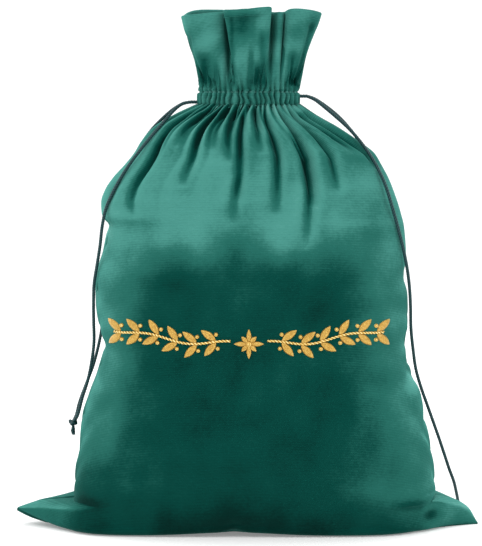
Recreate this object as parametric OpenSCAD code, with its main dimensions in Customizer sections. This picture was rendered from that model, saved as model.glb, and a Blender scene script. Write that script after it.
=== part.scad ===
// Velvet drawstring gift sack, filled out and standing on its base with its neck drawn in.
// Millimetres, +Z up. The origin is the middle of the base, on the floor. The front faces -Y.
// The cloth is split at the side seams, the plane y = 0. The back is the front mirrored.

/* [Body] */
// Height from the floor to the top of the frill
sack_h = 320; // [310:1:330]
// Height of the panels, from the floor to the drawstring channel
panel_h = 259; // [250:1:262]
// Width of the base between the corner ears
base_w = 208; // [200:1:214]
// Depth of the base
base_d = 88; // [80:1:96]
// Greatest width of the filled body, low down
belly_w = 225; // [220:1:230]
// Greatest depth of the filled body
belly_d = 128; // [120:1:134]
// Width where the sides pull in, at mid height
waist_w = 187; // [180:1:192]
// Width across the shoulders
shoulder_w = 181; // [176:1:186]
// How far the filled body leans to the right of its base
lean = 3; // [0:0.5:3]
// Distance between the tips of the two corner ears
ear_span = 287; // [276:1:296]
// Height of an ear's top edge where it meets the body
ear_h = 19; // [15:1:22]
// Thickness of the velvet, nap and backing together
cloth = 1.6; // [1.2:0.1:2]

/* [Neck and frill] */
// Width of the drawn neck
neck_w = 61; // [58:1:64]
// Depth of the drawn neck
neck_d = 37; // [34:1:40]
// Height of the drawstring channel
channel_h = 10.7; // [10:0.1:12]
// Clear width inside the channel, between its two layers
channel_gap = 2.7; // [2.5:0.1:3]
// Width of the frill at its top edge
frill_w = 86; // [80:1:92]
// Depth of the frill at its top edge
frill_d = 56; // [50:1:60]
// Height of the waves round the top edge of the frill
flute = 2.4; // [1:0.1:3]

/* [Cords] */
// Thickness of the satin drawstrings
cord_d = 2; // [1.8:0.1:2.2]

/* [Embroidery] */
// Height of the ornament's middle above the floor
ornament_z = 119; // [112:1:126]
// How far the ornament's ends rise above its middle
ornament_rise = 7; // [0:1:10]
// Half the ornament's width
ornament_half = 82; // [74:1:84]
// Length of one leaf
leaf_l = 10; // [9:1:13]

/* [Hidden] */

velvet = [0.05, 0.33, 0.30];
lining = [0.10, 0.42, 0.38];
thread = [0.04, 0.25, 0.23];
satin = [0.03, 0.20, 0.21];
gold = [0.85, 0.65, 0.28];

// Gap kept between pieces that ride on different bodies
part_gap = 0.3;
// Gap between two layers of cloth on one body
layer_gap = 0.4;
channel_z = panel_h + part_gap;
frill_z = channel_z + channel_h + layer_gap;
cord_r = cord_d / 2;

// The skin at each height: [height, half width, half depth, squareness, sideways lean]
skin_rows = [
    [0, base_w / 2, base_d / 2, 4, 0],
    [0.05 * panel_h, 0.493 * belly_w, 0.42 * belly_d, 3.4, 0.5 * lean],
    [0.11 * panel_h, belly_w / 2, 0.47 * belly_d, 3, lean],
    [0.23 * panel_h, 0.482 * belly_w, belly_d / 2, 2.7, lean],
    [0.34 * panel_h, 0.447 * belly_w, belly_d / 2, 2.6, lean],
    [0.43 * panel_h, waist_w / 2, 0.49 * belly_d, 2.5, lean],
    [0.55 * panel_h, 0.515 * waist_w, 0.485 * belly_d, 2.4, 0.7 * lean],
    [0.66 * panel_h, 0.52 * shoulder_w, 0.47 * belly_d, 2.3, lean],
    [0.77 * panel_h, shoulder_w / 2, 0.44 * belly_d, 2.2, 0.6 * lean],
    [0.86 * panel_h, 0.44 * shoulder_w, 0.39 * belly_d, 2.1, 0.8 * lean],
    [0.92 * panel_h, 0.36 * shoulder_w, 0.325 * belly_d, 2, 0.7 * lean],
    [0.965 * panel_h, 0.26 * shoulder_w, 0.24 * belly_d, 2, 0.3 * lean],
    [panel_h, neck_w / 2 + 0.5, neck_d / 2 + 0.5, 2, 0]
];
// The frill at each height: [height, half width, half depth, height of its waves]
frill_rows = [
    [frill_z, neck_w / 2, neck_d / 2, 0],
    [0.62 * frill_z + 0.38 * sack_h, 0.6 * neck_w / 2 + 0.4 * frill_w / 2,
        0.6 * neck_d / 2 + 0.4 * frill_d / 2, 0.4 * flute],
    [sack_h, frill_w / 2 - flute, frill_d / 2 - flute, flute]
];
// Heights of the rings that the panels are lofted through
panel_levels = concat([0, 4, 7.5, 10.5, 13, 15.5, 18, 21, 26, 34], [for (z = [44 : 13 : 200]) z],
    [208, 216, 224, 231, 238, 244, 250, 255], [panel_h]);

// Cords leave the channel straight through its side slits, and hinge where they leave it
exit_x = 36;
exit_pitch = 1.3;
left_exit_z = channel_z + 3.4;
right_exit_z = channel_z + 7;
slit = 2.6;

// Routes of the loose cords, from the exit to the knot
left_front_route = [
    [-36, -1.3, 262.7], [-41, -2, 261.5], [-46, -5, 257.5], [-52, -10, 250.5], [-58, -15, 243.5],
    [-64.5, -19, 235.5], [-71, -21, 227], [-77, -22, 218], [-82.5, -22, 208], [-87, -21, 198],
    [-89.5, -19, 187], [-91, -17, 175], [-93, -15, 163], [-95, -13, 151], [-95.5, -11, 139],
    [-95.5, -10, 127], [-95.5, -8, 115], [-97, -7, 103], [-99.5, -6, 91], [-103, -5.5, 80],
    [-106, -5.5, 69]
];
left_back_route = [
    [-36, 1.3, 262.7], [-41, 2, 261.5], [-47, 6, 258], [-53.5, 11, 252.5], [-60, 17, 246],
    [-66, 22, 238], [-71, 26, 229], [-75, 29, 218], [-78.5, 31, 207], [-81, 32, 195],
    [-83, 32, 183], [-85, 32, 171], [-87, 31, 159], [-89, 30, 147], [-90.5, 27, 135],
    [-92, 23, 123], [-94, 17, 111], [-97, 11, 99], [-101, 6, 88], [-105, 1, 77], [-107, -2, 69]
];
right_front_route = [
    [36, -1.3, 266.3], [41, -1.8, 264], [48, -3, 258.5], [55, -5, 252.5], [61.5, -8, 246.5],
    [68, -12, 239], [74, -17, 230.5], [79.5, -22, 220.5], [83.5, -26, 211], [86.5, -28, 201],
    [90, -27, 189], [93.5, -25, 176], [96.5, -21, 163], [98.5, -17, 150], [99.5, -14, 137],
    [100, -11, 124], [101.5, -8, 111], [103.5, -6, 98], [107, -4, 86], [111, -2, 75], [115, 0, 64],
    [119, 3, 53], [122.5, 7, 43], [126, 12, 33], [129.5, 18, 24], [132, 25, 15], [133.5, 31, 9]
];
right_back_route = [
    [36, 1.3, 266.3], [41, 2, 264.5], [48, 6, 260], [55, 11, 254.5], [61.5, 16, 248], [68, 21, 240],
    [74, 25, 230.5], [78.5, 28, 220], [82.5, 30, 208], [86, 31, 195], [89.5, 31, 182],
    [92, 31, 169], [94, 30, 156], [95, 30, 142], [96, 31, 129], [97, 31, 115], [98.5, 31, 101],
    [101, 31, 87], [104, 32, 73], [107, 33, 59], [109.5, 35, 46], [111.5, 37, 33], [113, 40, 21],
    [115, 44, 10], [120, 45, 3.5], [126, 42, 3], [130.5, 38, 4.5], [133, 35, 9]
];
left_knot = [-109, -4, 64.5];
right_knot = [134.5, 33, 5.2];
knot_r = 3.2;
knot_tail = 8;

// Cubic between two values with given slopes, s from 0 to 1
function hermite(a, b, slope_a, slope_b, s) =
    (2 * s * s * s - 3 * s * s + 1) * a + (s * s * s - 2 * s * s + s) * slope_a
    + (3 * s * s - 2 * s * s * s) * b + (s * s * s - s * s) * slope_b;
function smoothstep(low, high, v) =
    let (s = max(0, min(1, (v - low) / (high - low))))
    s * s * (3 - 2 * s);

// Row i of a table that holds key v, the slope at a row, and the smooth row at key v
function row_of(rows, v, i = 0) =
    i >= len(rows) - 2 || v < rows[i + 1][0] ? i : row_of(rows, v, i + 1);
function row_slope(rows, i) =
    let (a = max(i - 1, 0), b = min(i + 1, len(rows) - 1))
    (rows[b] - rows[a]) / (rows[b][0] - rows[a][0]);
function row_at(rows, v) =
    let (i = row_of(rows, v), step = rows[i + 1][0] - rows[i][0])
    hermite(rows[i], rows[i + 1], row_slope(rows, i) * step, row_slope(rows, i + 1) * step,
        (v - rows[i][0]) / step);

// Signed power, which squares off an ellipse
function bend(v, power) = sign(v) * pow(abs(v), power);

// A point of the body's skin. turn is 180 at the left seam, 270 at the front, 360 at the right
function skin_point(turn, level, inset) =
    let (row = row_at(skin_rows, level),
         out = 1 - smoothstep(0.37 * ear_h, ear_h, level),
         ear = max(0, (ear_span / 2 - row[1]) * out - 1.5 * inset),
         power = 2 / row[3])
    [row[4] * (1 - out) + (row[1] - inset) * bend(cos(turn), power) + ear * bend(cos(turn), 8),
     (row[2] - inset) * bend(sin(turn), power),
     max(level, inset)];

// A point of the neck's outer layer, upright in the channel and flaring above it, or of a
// layer inset from it
waves = 7;
function frill_point(turn, level, inset) =
    let (row = row_at(frill_rows, max(level, frill_z)), wave = row[3] * cos(2 * waves * turn))
    [(row[1] + wave - inset) * cos(turn), (row[2] + wave - inset) * sin(turn), level];

// The y of the body's front skin at a place, and the way it faces there
function front_y(x, z) =
    let (row = row_at(skin_rows, z))
    -row[2] * pow(1 - pow(abs(x - row[4]) / row[1], row[3]), 1 / row[3]);
function front_normal(x, z) =
    let (d = 1,
         across = [2 * d, front_y(x + d, z) - front_y(x - d, z), 0],
         up = [0, front_y(x, z + d) - front_y(x, z - d), 2 * d],
         n = cross(across, up))
    n / norm(n);

// Triangles of a closed sheet between an outer and an inner grid of points.
// The first row is closed by a flat face when floor is true, and by a rim when it isn't
function grid_faces(rows, cols, floor) =
    let (half = rows * cols)
    concat(
        [for (i = [0 : rows - 2], j = [0 : cols - 2]) each [
            [i * cols + j, (i + 1) * cols + j, (i + 1) * cols + j + 1],
            [i * cols + j, (i + 1) * cols + j + 1, i * cols + j + 1],
            [half + i * cols + j, half + (i + 1) * cols + j + 1, half + (i + 1) * cols + j],
            [half + i * cols + j, half + i * cols + j + 1, half + (i + 1) * cols + j + 1]]],
        [for (i = [0 : rows - 2], j = [0, cols - 1]) let (
            a = i * cols + j, b = a + cols, quad = [a, half + a, half + b, b])
            j == 0 ? quad : [quad[3], quad[2], quad[1], quad[0]]],
        [for (j = [0 : cols - 2]) let (a = (rows - 1) * cols + j) [a, half + a, half + a + 1, a + 1]],
        floor
            ? [[for (j = [0 : cols - 1]) j], [for (j = [cols - 1 : -1 : 0]) half + j],
               [cols - 1, 0, half, half + cols - 1]]
            : [for (j = [0 : cols - 2]) [j, j + 1, half + j + 1, half + j]]);
module sheet(outer, inner, floor) {
    points = concat([for (row = outer) each row], [for (row = inner) each row]);
    polyhedron(points, grid_faces(len(outer), len(outer[0]), floor), convexity = 6);
}

// A tube along a line of points. upright is any direction the line never runs along
function unit(v) = v / norm(v);
function tube_ring(line, i, r, upright, sides) =
    let (ahead = unit(line[min(i + 1, len(line) - 1)] - line[max(i - 1, 0)]),
         side = unit(cross(ahead, upright)),
         over = cross(side, ahead))
    [for (k = [0 : sides - 1]) line[i] + r * (cos(k * 360 / sides) * side + sin(k * 360 / sides) * over)];
module tube(line, r, upright, sides = 8) {
    last = len(line) - 1;
    points = [for (i = [0 : last]) each tube_ring(line, i, r, upright, sides)];
    walls = [for (i = [0 : last - 1], k = [0 : sides - 1])
        let (a = i * sides + k, b = i * sides + (k + 1) % sides)
        [a, a + sides, b + sides, b]];
    ends = [[for (k = [0 : sides - 1]) k], [for (k = [sides - 1 : -1 : 0]) last * sides + k]];
    polyhedron(points, concat(walls, ends), convexity = 10);
}
// The points of a route with `steps` rings to each stretch
function smooth_route(route, steps) =
    let (last = len(route) - 1)
    concat([for (i = [0 : last - 1], k = [0 : steps - 1])
        hermite(route[i], route[i + 1], (route[i + 1] - route[max(i - 1, 0)]) / 2,
            (route[min(i + 2, last)] - route[i]) / 2, k / steps)],
        [route[last]]);

// ---- Body panels ----
panel_cols = 32;
module panel() {
    turns = [for (j = [0 : panel_cols]) 180 + 180 * j / panel_cols];
    color(velvet)
        sheet([for (z = panel_levels) [for (t = turns) skin_point(t, z, 0)]],
            [for (z = panel_levels) [for (t = turns) skin_point(t, z, cloth)]], true);
}
module front_panel() { panel(); }
module back_panel() { mirror([0, 1, 0]) panel(); }

// The two turned-in layers along a side seam, hidden inside
seam_w = 8;
seam_gap = 0.7;
module side_seam(side) {
    levels = [24 : 9 : 250];
    outer = [for (z = levels) let (row = row_at(skin_rows, z))
        [row[4] + side * (row[1] - cloth - seam_gap), z]];
    inner = [for (i = [len(outer) - 1 : -1 : 0]) outer[i] - [side * seam_w, 0]];
    color(lining)
        translate([0, cloth, 0])
            rotate([90, 0, 0])
                linear_extrude(2 * cloth)
                    polygon(concat(outer, inner));
}
module left_side_seam() { side_seam(-1); }
module right_side_seam() { side_seam(1); }

// The same along the bottom, standing up from the floor of the sack
bottom_seam_l = 0.86 * ear_span;
bottom_seam_h = 5;
module bottom_seam() {
    color(lining)
        translate([-bottom_seam_l / 2, -cloth, cloth + seam_gap])
            cube([bottom_seam_l, 2 * cloth, bottom_seam_h]);
}

// ---- Neck: drawstring channel and frill, front half ----
neck_cols = 30;
module front_half() { translate([0, -part_gap / 2, 0]) children(); }
module back_half() { mirror([0, 1, 0]) front_half() children(); }

// The channel's outer layer, slightly puffed, open at its ends for the cords
puff = 0.6;
module casing() {
    from = asin(slit / (neck_d / 2));
    turns = [for (j = [0 : neck_cols]) 180 + from + (180 - 2 * from) * j / neck_cols];
    levels = [0, 0.25, 0.5, 0.75, 1];
    color(velvet)
        sheet([for (s = levels) [for (t = turns)
                frill_point(t, channel_z + s * channel_h, -puff * sin(180 * s))]],
            [for (s = levels) [for (t = turns)
                frill_point(t, channel_z + s * channel_h, cloth - puff * sin(180 * s))]], false);
}
module front_casing() { front_half() casing(); }
module back_casing() { back_half() casing(); }

// The turned-down inner layer, behind the channel and up inside the frill
facing_top = sack_h - 2.5;
facing_levels = [channel_z, frill_z + 2, frill_z + 8, frill_z + 14, frill_z + 22,
    frill_z + 31, frill_z + 39, facing_top];
function facing_inset(z) =
    cloth + layer_gap + (channel_gap - layer_gap) * (1 - smoothstep(frill_z + 2, frill_z + 14, z));
module facing() {
    turns = [for (j = [0 : 2 * neck_cols]) 180 + 90 * j / neck_cols];
    color(lining)
        sheet([for (z = facing_levels) [for (t = turns) frill_point(t, z, facing_inset(z))]],
            [for (z = facing_levels) [for (t = turns)
                frill_point(t, z, facing_inset(z) + cloth)]], false);
}
module front_facing() { front_half() facing(); }
module back_facing() { back_half() facing(); }

// The frill's outer layer
frill_steps = 7;
module frill() {
    turns = [for (j = [0 : 2 * neck_cols]) 180 + 90 * j / neck_cols];
    levels = [for (i = [0 : frill_steps]) frill_z + (sack_h - frill_z) * i / frill_steps];
    color(velvet)
        sheet([for (z = levels) [for (t = turns) frill_point(t, z, 0)]],
            [for (z = levels) [for (t = turns) frill_point(t, z, cloth)]], false);
}
module front_frill() { front_half() frill(); }
module back_frill() { back_half() frill(); }

// A row of stitches round half the neck
stitch_r = 0.25;
stitch_l = 2;
stitches = 26;
stitch_lift = 0.6;
stitch_edge = 1.2;
module stitching(z) {
    color(thread)
        for (i = [0 : stitches - 1]) {
            turn = 180 + 8 + 164 * (i + 0.5) / stitches;
            a = neck_w / 2 + stitch_lift;
            b = neck_d / 2 + stitch_lift;
            translate([a * cos(turn), b * sin(turn), z])
                rotate([0, 0, atan2(b * cos(turn), -a * sin(turn))])
                    rotate([0, 90, 0])
                        cylinder(r = stitch_r, h = stitch_l, center = true, $fn = 16);
        }
}
module front_lower_stitching() { front_half() stitching(channel_z + stitch_edge); }
module back_lower_stitching() { back_half() stitching(channel_z + stitch_edge); }
module front_upper_stitching() { front_half() stitching(channel_z + channel_h - stitch_edge); }
module back_upper_stitching() { back_half() stitching(channel_z + channel_h - stitch_edge); }

// ---- Gold embroidery on the front: two vines from a star, with leaves and berries ----
embroidery_lift = 0.6;
vine_r = 0.6;
vine_wave = 1.6;
vine_pitch = 48;
star_r = 9;
star_arm_w = 2.4;
star_arms = 8;
thread_h = 0.7;
leaf_pitch = 11.5;
leaf_pairs = 6;
leaf_first = 19;
leaf_tilt = 42;
leaf_w = 4.2;
berry_r = 1.0;
berry_out = 4.2;
function ornament_height(x) =
    ornament_z + ornament_rise * pow(x / ornament_half, 2) + vine_wave * sin(360 * abs(x) / vine_pitch);
function vine_slope(x) = atan((ornament_height(x + 1) - ornament_height(x - 1)) / 2);
// Places children on the skin at (x, z), with their +Z pointing out of it and +Y up
module on_front(x, z) {
    n = front_normal(x, z);
    translate([x, front_y(x, z), z] + embroidery_lift * n)
        rotate([asin(n[2]), 0, atan2(n[0], -n[1])])
            rotate([90, 0, 0])
                children();
}
module embroidery_vine() {
    steps = 12;
    reach = ornament_half - star_r - 3;
    color(gold)
        for (side = [-1, 1])
            tube([for (i = [0 : steps]) let (
                    x = side * (star_r + 2 + reach * i / steps),
                    z = ornament_height(x))
                    [x, front_y(x, z), z] + (vine_r + embroidery_lift) * front_normal(x, z)],
                vine_r, [0, 0, 1]);
}
module leaf() {
    bow = (leaf_l * leaf_l / 4 + leaf_w * leaf_w / 4) / leaf_w;
    linear_extrude(thread_h)
        intersection() {
            translate([leaf_l / 2, bow - leaf_w / 2]) circle(r = bow, $fn = 72);
            translate([leaf_l / 2, leaf_w / 2 - bow]) circle(r = bow, $fn = 72);
        }
}
module embroidery_leaves() {
    stem_gap = 1.6;
    color(gold)
        for (side = [-1, 1], i = [0 : leaf_pairs - 1], way = [-1, 1]) {
            x = side * (leaf_first + leaf_pitch * i);
            aim = vine_slope(x) + (side > 0 ? way * leaf_tilt : 180 - way * leaf_tilt);
            on_front(x + (leaf_l / 2 + stem_gap) * cos(aim),
                    ornament_height(x) + (leaf_l / 2 + stem_gap) * sin(aim))
                rotate([0, 0, aim])
                    translate([-leaf_l / 2, 0, 0])
                        leaf();
        }
}
module embroidery_berries() {
    color(gold)
        for (side = [-1, 1], i = [0 : leaf_pairs - 1], way = [-1, 1]) {
            x = side * (leaf_first + leaf_pitch * i);
            slope = vine_slope(x);
            on_front(x - way * berry_out * sin(slope), ornament_height(x) + way * berry_out * cos(slope))
                translate([0, 0, berry_r])
                    sphere(r = berry_r, $fn = 24);
        }
}
module embroidery_star() {
    waist = star_r / 2.6;
    color(gold)
        on_front(0, ornament_z)
            linear_extrude(thread_h)
                for (i = [0 : star_arms - 1]) {
                    tip = i % 2 == 0 ? star_r : 0.7 * star_r;
                    rotate(i * 360 / star_arms)
                        polygon([[0, 0], [waist, star_arm_w / 2], [tip, 0], [waist, -star_arm_w / 2]]);
                }
}

// ---- Drawstrings ----
// Each cord goes once round inside the channel. It leaves at its own side, through the slit
run_inset = cloth + channel_gap / 2;
module cord_run(z, slit_left, slit_right) {
    steps = 22;
    open = asin((slit + 0.3) / (neck_d / 2 - run_inset));
    closed = 0.4;
    from = 180 + (slit_left ? open : closed);
    to = 360 - (slit_right ? open : closed);
    color(satin)
        tube([for (i = [0 : steps]) frill_point(from + (to - from) * i / steps, z, run_inset)],
            cord_r, [0, 0, 1]);
}
module left_cord_front_run() { front_half() cord_run(left_exit_z, true, false); }
module left_cord_back_run() { back_half() cord_run(left_exit_z, true, false); }
module right_cord_front_run() { front_half() cord_run(right_exit_z, false, true); }
module right_cord_back_run() { back_half() cord_run(right_exit_z, false, true); }

// The two ends of one cord, side by side in the slit
ends_from = neck_w / 2 - run_inset + 0.8;
hinge_gap = 0.9;
module cord_ends(z) {
    color(satin)
        for (side = [-1, 1])
            translate([ends_from, side * exit_pitch, z])
                rotate([0, 90, 0])
                    cylinder(d = cord_d, h = exit_x - hinge_gap - ends_from, $fn = 24);
}
module left_cord_ends() { mirror([1, 0, 0]) cord_ends(left_exit_z); }
module right_cord_ends() { cord_ends(right_exit_z); }

// The loose stretch from the exit to the knot
module cord_tail(route) { color(satin) tube(smooth_route(route, 2), cord_r, [0, 1, 0]); }
module left_cord_front_tail() { cord_tail(left_front_route); }
module left_cord_back_tail() { cord_tail(left_back_route); }
module right_cord_front_tail() { cord_tail(right_front_route); }
module right_cord_back_tail() { cord_tail(right_back_route); }

// An overhand knot with the two cut ends past it. aim turns the ends from straight down
module cord_knot(place, aim) {
    color(satin)
        translate(place)
            rotate(aim) {
                rotate_extrude($fn = 32)
                    intersection() {
                        circle(r = knot_r, $fn = 32);
                        translate([0, -knot_r]) square([knot_r, 2 * knot_r]);
                    }
                for (side = [-1, 1])
                    translate([0, side * exit_pitch, -knot_tail])
                        cylinder(d = cord_d, h = knot_tail, $fn = 24);
            }
}
module left_cord_knot() { cord_knot(left_knot, [0, 0, 0]); }
module right_cord_knot() { cord_knot(right_knot, [70, 0, -35]); }

front_panel();
back_panel();
left_side_seam();
right_side_seam();
bottom_seam();
front_casing();
back_casing();
front_facing();
back_facing();
front_frill();
back_frill();
front_lower_stitching();
back_lower_stitching();
front_upper_stitching();
back_upper_stitching();
embroidery_vine();
embroidery_leaves();
embroidery_berries();
embroidery_star();
left_cord_front_run();
left_cord_back_run();
right_cord_front_run();
right_cord_back_run();
left_cord_ends();
right_cord_ends();
left_cord_front_tail();
left_cord_back_tail();
left_cord_knot();
right_cord_front_tail();
right_cord_back_tail();
right_cord_knot();
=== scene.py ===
"""Looks of the velvet gift sack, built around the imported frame. Metres, +Z up, front at -Y.

Shapes are worked out in millimetres and become metres when their meshes are made. The sack is
drawn as its front half; the back half is drawn the same way, with gathers of its own, and turned
over. Grids of points run from left to right (columns, u from 0 to 1) and upwards (rows).
"""
import math

import bpy
import numpy as np
from mathutils import Euler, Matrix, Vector
from mathutils.bvhtree import BVHTree


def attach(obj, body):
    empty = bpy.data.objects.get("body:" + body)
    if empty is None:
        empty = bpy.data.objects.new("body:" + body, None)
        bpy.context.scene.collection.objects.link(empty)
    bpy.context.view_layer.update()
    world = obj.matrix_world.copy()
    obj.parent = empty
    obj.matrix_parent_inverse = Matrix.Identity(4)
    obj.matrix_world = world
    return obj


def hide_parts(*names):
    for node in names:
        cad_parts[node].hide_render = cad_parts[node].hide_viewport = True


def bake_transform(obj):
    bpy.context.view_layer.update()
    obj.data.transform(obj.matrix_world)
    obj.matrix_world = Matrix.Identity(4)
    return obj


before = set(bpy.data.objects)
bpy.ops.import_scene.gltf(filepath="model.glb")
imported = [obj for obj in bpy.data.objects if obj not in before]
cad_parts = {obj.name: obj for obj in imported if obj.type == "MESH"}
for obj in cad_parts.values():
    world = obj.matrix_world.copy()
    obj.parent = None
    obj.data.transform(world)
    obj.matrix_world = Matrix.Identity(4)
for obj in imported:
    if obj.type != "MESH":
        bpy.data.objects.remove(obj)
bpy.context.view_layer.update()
MM = 0.001


# ---- Numbers and curves ----

def smoothstep(low, high, value):
    s = np.clip((value - low) / (high - low), 0, 1)
    return s * s * (3 - 2 * s)


def bell(distance, reach):
    return np.exp(-(distance / reach) ** 2)


def smooth_rows(table, keys, hold=False):
    """Rows of a table at new keys (its first column). hold keeps the curve from overshooting."""
    table = np.asarray(table, float)
    x, y = table[:, 0], table[:, 1:]
    gap = np.diff(x)[:, None]
    rise = np.diff(y, axis=0) / gap
    slope = np.concatenate([rise[:1], (y[2:] - y[:-2]) / (x[2:] - x[:-2])[:, None], rise[-1:]])
    if hold:
        same = rise[:-1] * rise[1:] > 0
        total = np.where(same, rise[:-1] + rise[1:], 1)
        slope[1:-1] = np.where(same, 2 * rise[:-1] * rise[1:] / total, 0)
    keys = np.atleast_1d(keys)
    i = np.clip(np.searchsorted(x, keys, side="right") - 1, 0, len(x) - 2)
    s = ((keys - x[i]) / gap[i, 0])[:, None]
    return ((2 * s**3 - 3 * s**2 + 1) * y[i] + (s**3 - 2 * s**2 + s) * gap[i] * slope[i]
            + (3 * s**2 - 2 * s**3) * y[i + 1] + (s**3 - s**2) * gap[i] * slope[i + 1])


def arc_lengths(line):
    return np.concatenate([[0], np.cumsum(np.linalg.norm(np.diff(line, axis=0), axis=1))])


def resample(line, shares):
    """Points at these shares of a line's length."""
    along = arc_lengths(line)
    return np.stack([np.interp(np.asarray(shares) * along[-1], along, c) for c in line.T], 1)


def smooth_line(points, gap):
    """A smooth line through given points, with a point every gap millimetres."""
    points = np.asarray(points, float)
    keyed = np.column_stack([np.arange(len(points)), points])
    line = smooth_rows(keyed, np.linspace(0, len(points) - 1, 24 * len(points)))
    count = max(int(arc_lengths(line)[-1] / gap), 4)
    return resample(line, np.linspace(0, 1, count + 1))


def unit(v):
    return v / np.maximum(np.linalg.norm(v, axis=-1, keepdims=True), 1e-9)


def normals(grid):
    """The outward normals of a grid of points."""
    return unit(np.cross(np.gradient(grid, axis=1), np.gradient(grid, axis=0)))


def blur(values, reach):
    """A grid of values, averaged over a few neighbours each way."""
    for axis in (0, 1):
        kernel = np.hanning(2 * reach + 3)[1:-1]
        kernel /= kernel.sum()
        pad = [(reach, reach) if a == axis else (0, 0) for a in (0, 1)]
        padded = np.pad(values, pad, mode="edge")
        values = np.apply_along_axis(lambda line: np.convolve(line, kernel, "valid"), axis, padded)
    return values


def rolling(x, z, size, seed):
    """A soft random relief from -1 to 1, with hills about size millimetres across."""
    dice = np.random.default_rng(seed)
    total = 0
    for _ in range(9):
        turn, phase = dice.uniform(0, 2 * math.pi, 2)
        pitch = size * dice.uniform(1.2, 2.6)
        total = total + np.sin((x * math.cos(turn) + z * math.sin(turn)) * 2 * math.pi / pitch + phase)
    return total / 4.5


# ---- Meshes ----

def mesh_piece(name, points, faces, material, marks=None):
    """A smooth mesh from points in millimetres. marks are per-point values for its material."""
    mesh = bpy.data.meshes.new(name)
    mesh.from_pydata((np.asarray(points) * MM).tolist(), [], faces)
    mesh.polygons.foreach_set("use_smooth", [True] * len(mesh.polygons))
    for key, values in (marks or {}).items():
        kind, field = ("FLOAT", "value") if values.ndim == 1 else ("FLOAT_VECTOR", "vector")
        made = mesh.attributes.new(key, kind, "POINT")
        made.data.foreach_set(field, np.ascontiguousarray(values, np.float32).ravel())
    mesh.validate()
    mesh.update()
    mesh.materials.append(material)
    piece = bpy.data.objects.new(name, mesh)
    bpy.context.scene.collection.objects.link(piece)
    return piece


def shell_faces(rows, cols):
    """Faces of a closed sheet between an outer and an inner grid."""
    half = rows * cols
    grid = np.arange(half).reshape(rows, cols)
    quads = np.stack([grid[:-1, :-1], grid[:-1, 1:], grid[1:, 1:], grid[1:, :-1]], -1).reshape(-1, 4)
    edge = [grid[0, ::-1], grid[:, 0], grid[-1], grid[::-1, -1]]
    rims = [np.stack([e[:-1], e[1:], half + e[1:], half + e[:-1]], 1) for e in edge]
    return np.concatenate([quads, half + quads[:, ::-1], *rims]).tolist()


def shell(name, outer, inner, material, marks=None):
    rows, cols = outer.shape[:2]
    points = np.concatenate([outer.reshape(-1, 3), inner.reshape(-1, 3)])
    both = {}
    for key, values in (marks or {}).items():
        flat = values.reshape(rows * cols, -1)
        both[key] = np.concatenate([flat, flat]).squeeze()
    return mesh_piece(name, points, shell_faces(rows, cols), material, both)


def tube_mesh(line, radii, sides, grooves=0, lay=5.5, depth=0.0):
    """Points, faces and strand marks of a tube along a line, twisted like a cord if grooved."""
    ahead = unit(np.gradient(line, axis=0))
    side = np.zeros_like(line)
    side[0] = unit(np.cross(ahead[0], [0.3, 1, 0.2]))
    for i in range(1, len(line)):
        side[i] = unit(side[i - 1] - ahead[i] * (side[i - 1] @ ahead[i]))
    over = np.cross(ahead, side)
    turn = np.linspace(0, 2 * math.pi, sides, endpoint=False)[None, :]
    twist = 2 * math.pi * arc_lengths(line)[:, None] / lay
    # strand is 1 on a strand's crown and 0 in its grooves; it shapes the cord and also picks painted
    # highlight and shade in the cord and gold materials.
    strand = np.abs(np.cos(grooves * (turn - twist) / 2)) if grooves else np.ones((len(line), sides))
    reach = np.broadcast_to(radii, len(line))[:, None] * (1 - depth * (1 - strand))
    ring = (np.cos(turn) * reach)[..., None] * side[:, None]
    ring = ring + (np.sin(turn) * reach)[..., None] * over[:, None]
    points = (line[:, None] + ring).reshape(-1, 3)
    grid = np.arange(len(points)).reshape(len(line), sides)
    after = np.roll(grid, -1, 1)
    quads = np.stack([grid[:-1], after[:-1], after[1:], grid[1:]], -1).reshape(-1, 4).tolist()
    return points, quads + [grid[0, ::-1].tolist(), grid[-1].tolist()], strand.ravel()


def joined(parts):
    """One mesh's points, faces and marks from several."""
    points, faces, marks, start = [], [], [], 0
    for p, f, m in parts:
        points.append(p)
        faces += [[start + k for k in face] for face in f]
        marks.append(m)
        start += len(p)
    return np.concatenate(points), faces, np.concatenate(marks)


# ---- Materials ----

def shader_of(name):
    made = bpy.data.materials.new(name)
    made.use_nodes = True
    return made, made.node_tree, made.node_tree.nodes["Principled BSDF"]


def node(tree, kind, inputs=None, **settings):
    made = tree.nodes.new(kind)
    for key, value in settings.items():
        setattr(made, key, value)
    for key, value in (inputs or {}).items():
        if isinstance(value, bpy.types.NodeSocket):
            tree.links.new(value, made.inputs[key])
        else:
            made.inputs[key].default_value = value
    return made


def mark(tree, name):
    return node(tree, "ShaderNodeAttribute", attribute_name=name)


def mixed(tree, operation, a, b):
    return node(tree, "ShaderNodeMath", {0: a, 1: b}, operation=operation).outputs[0]


def centred(tree, texture, amount):
    """A texture's value about zero, times amount."""
    about_zero = mixed(tree, "SUBTRACT", texture.outputs["Fac"], 0.5)
    return mixed(tree, "MULTIPLY", about_zero, amount)


def set_inputs(shader, values):
    for key, value in values.items():
        shader.inputs[key].default_value = value


def ramp(tree, factor, stops):
    made = node(tree, "ShaderNodeValToRGB", {0: factor})
    made.color_ramp.interpolation = "EASE"
    while len(made.color_ramp.elements) < len(stops):
        made.color_ramp.elements.new(0.5)
    for element, (place, colour) in zip(made.color_ramp.elements, stops):
        element.position = place
        element.color = (*colour, 1)
    return made.outputs[0]


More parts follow.
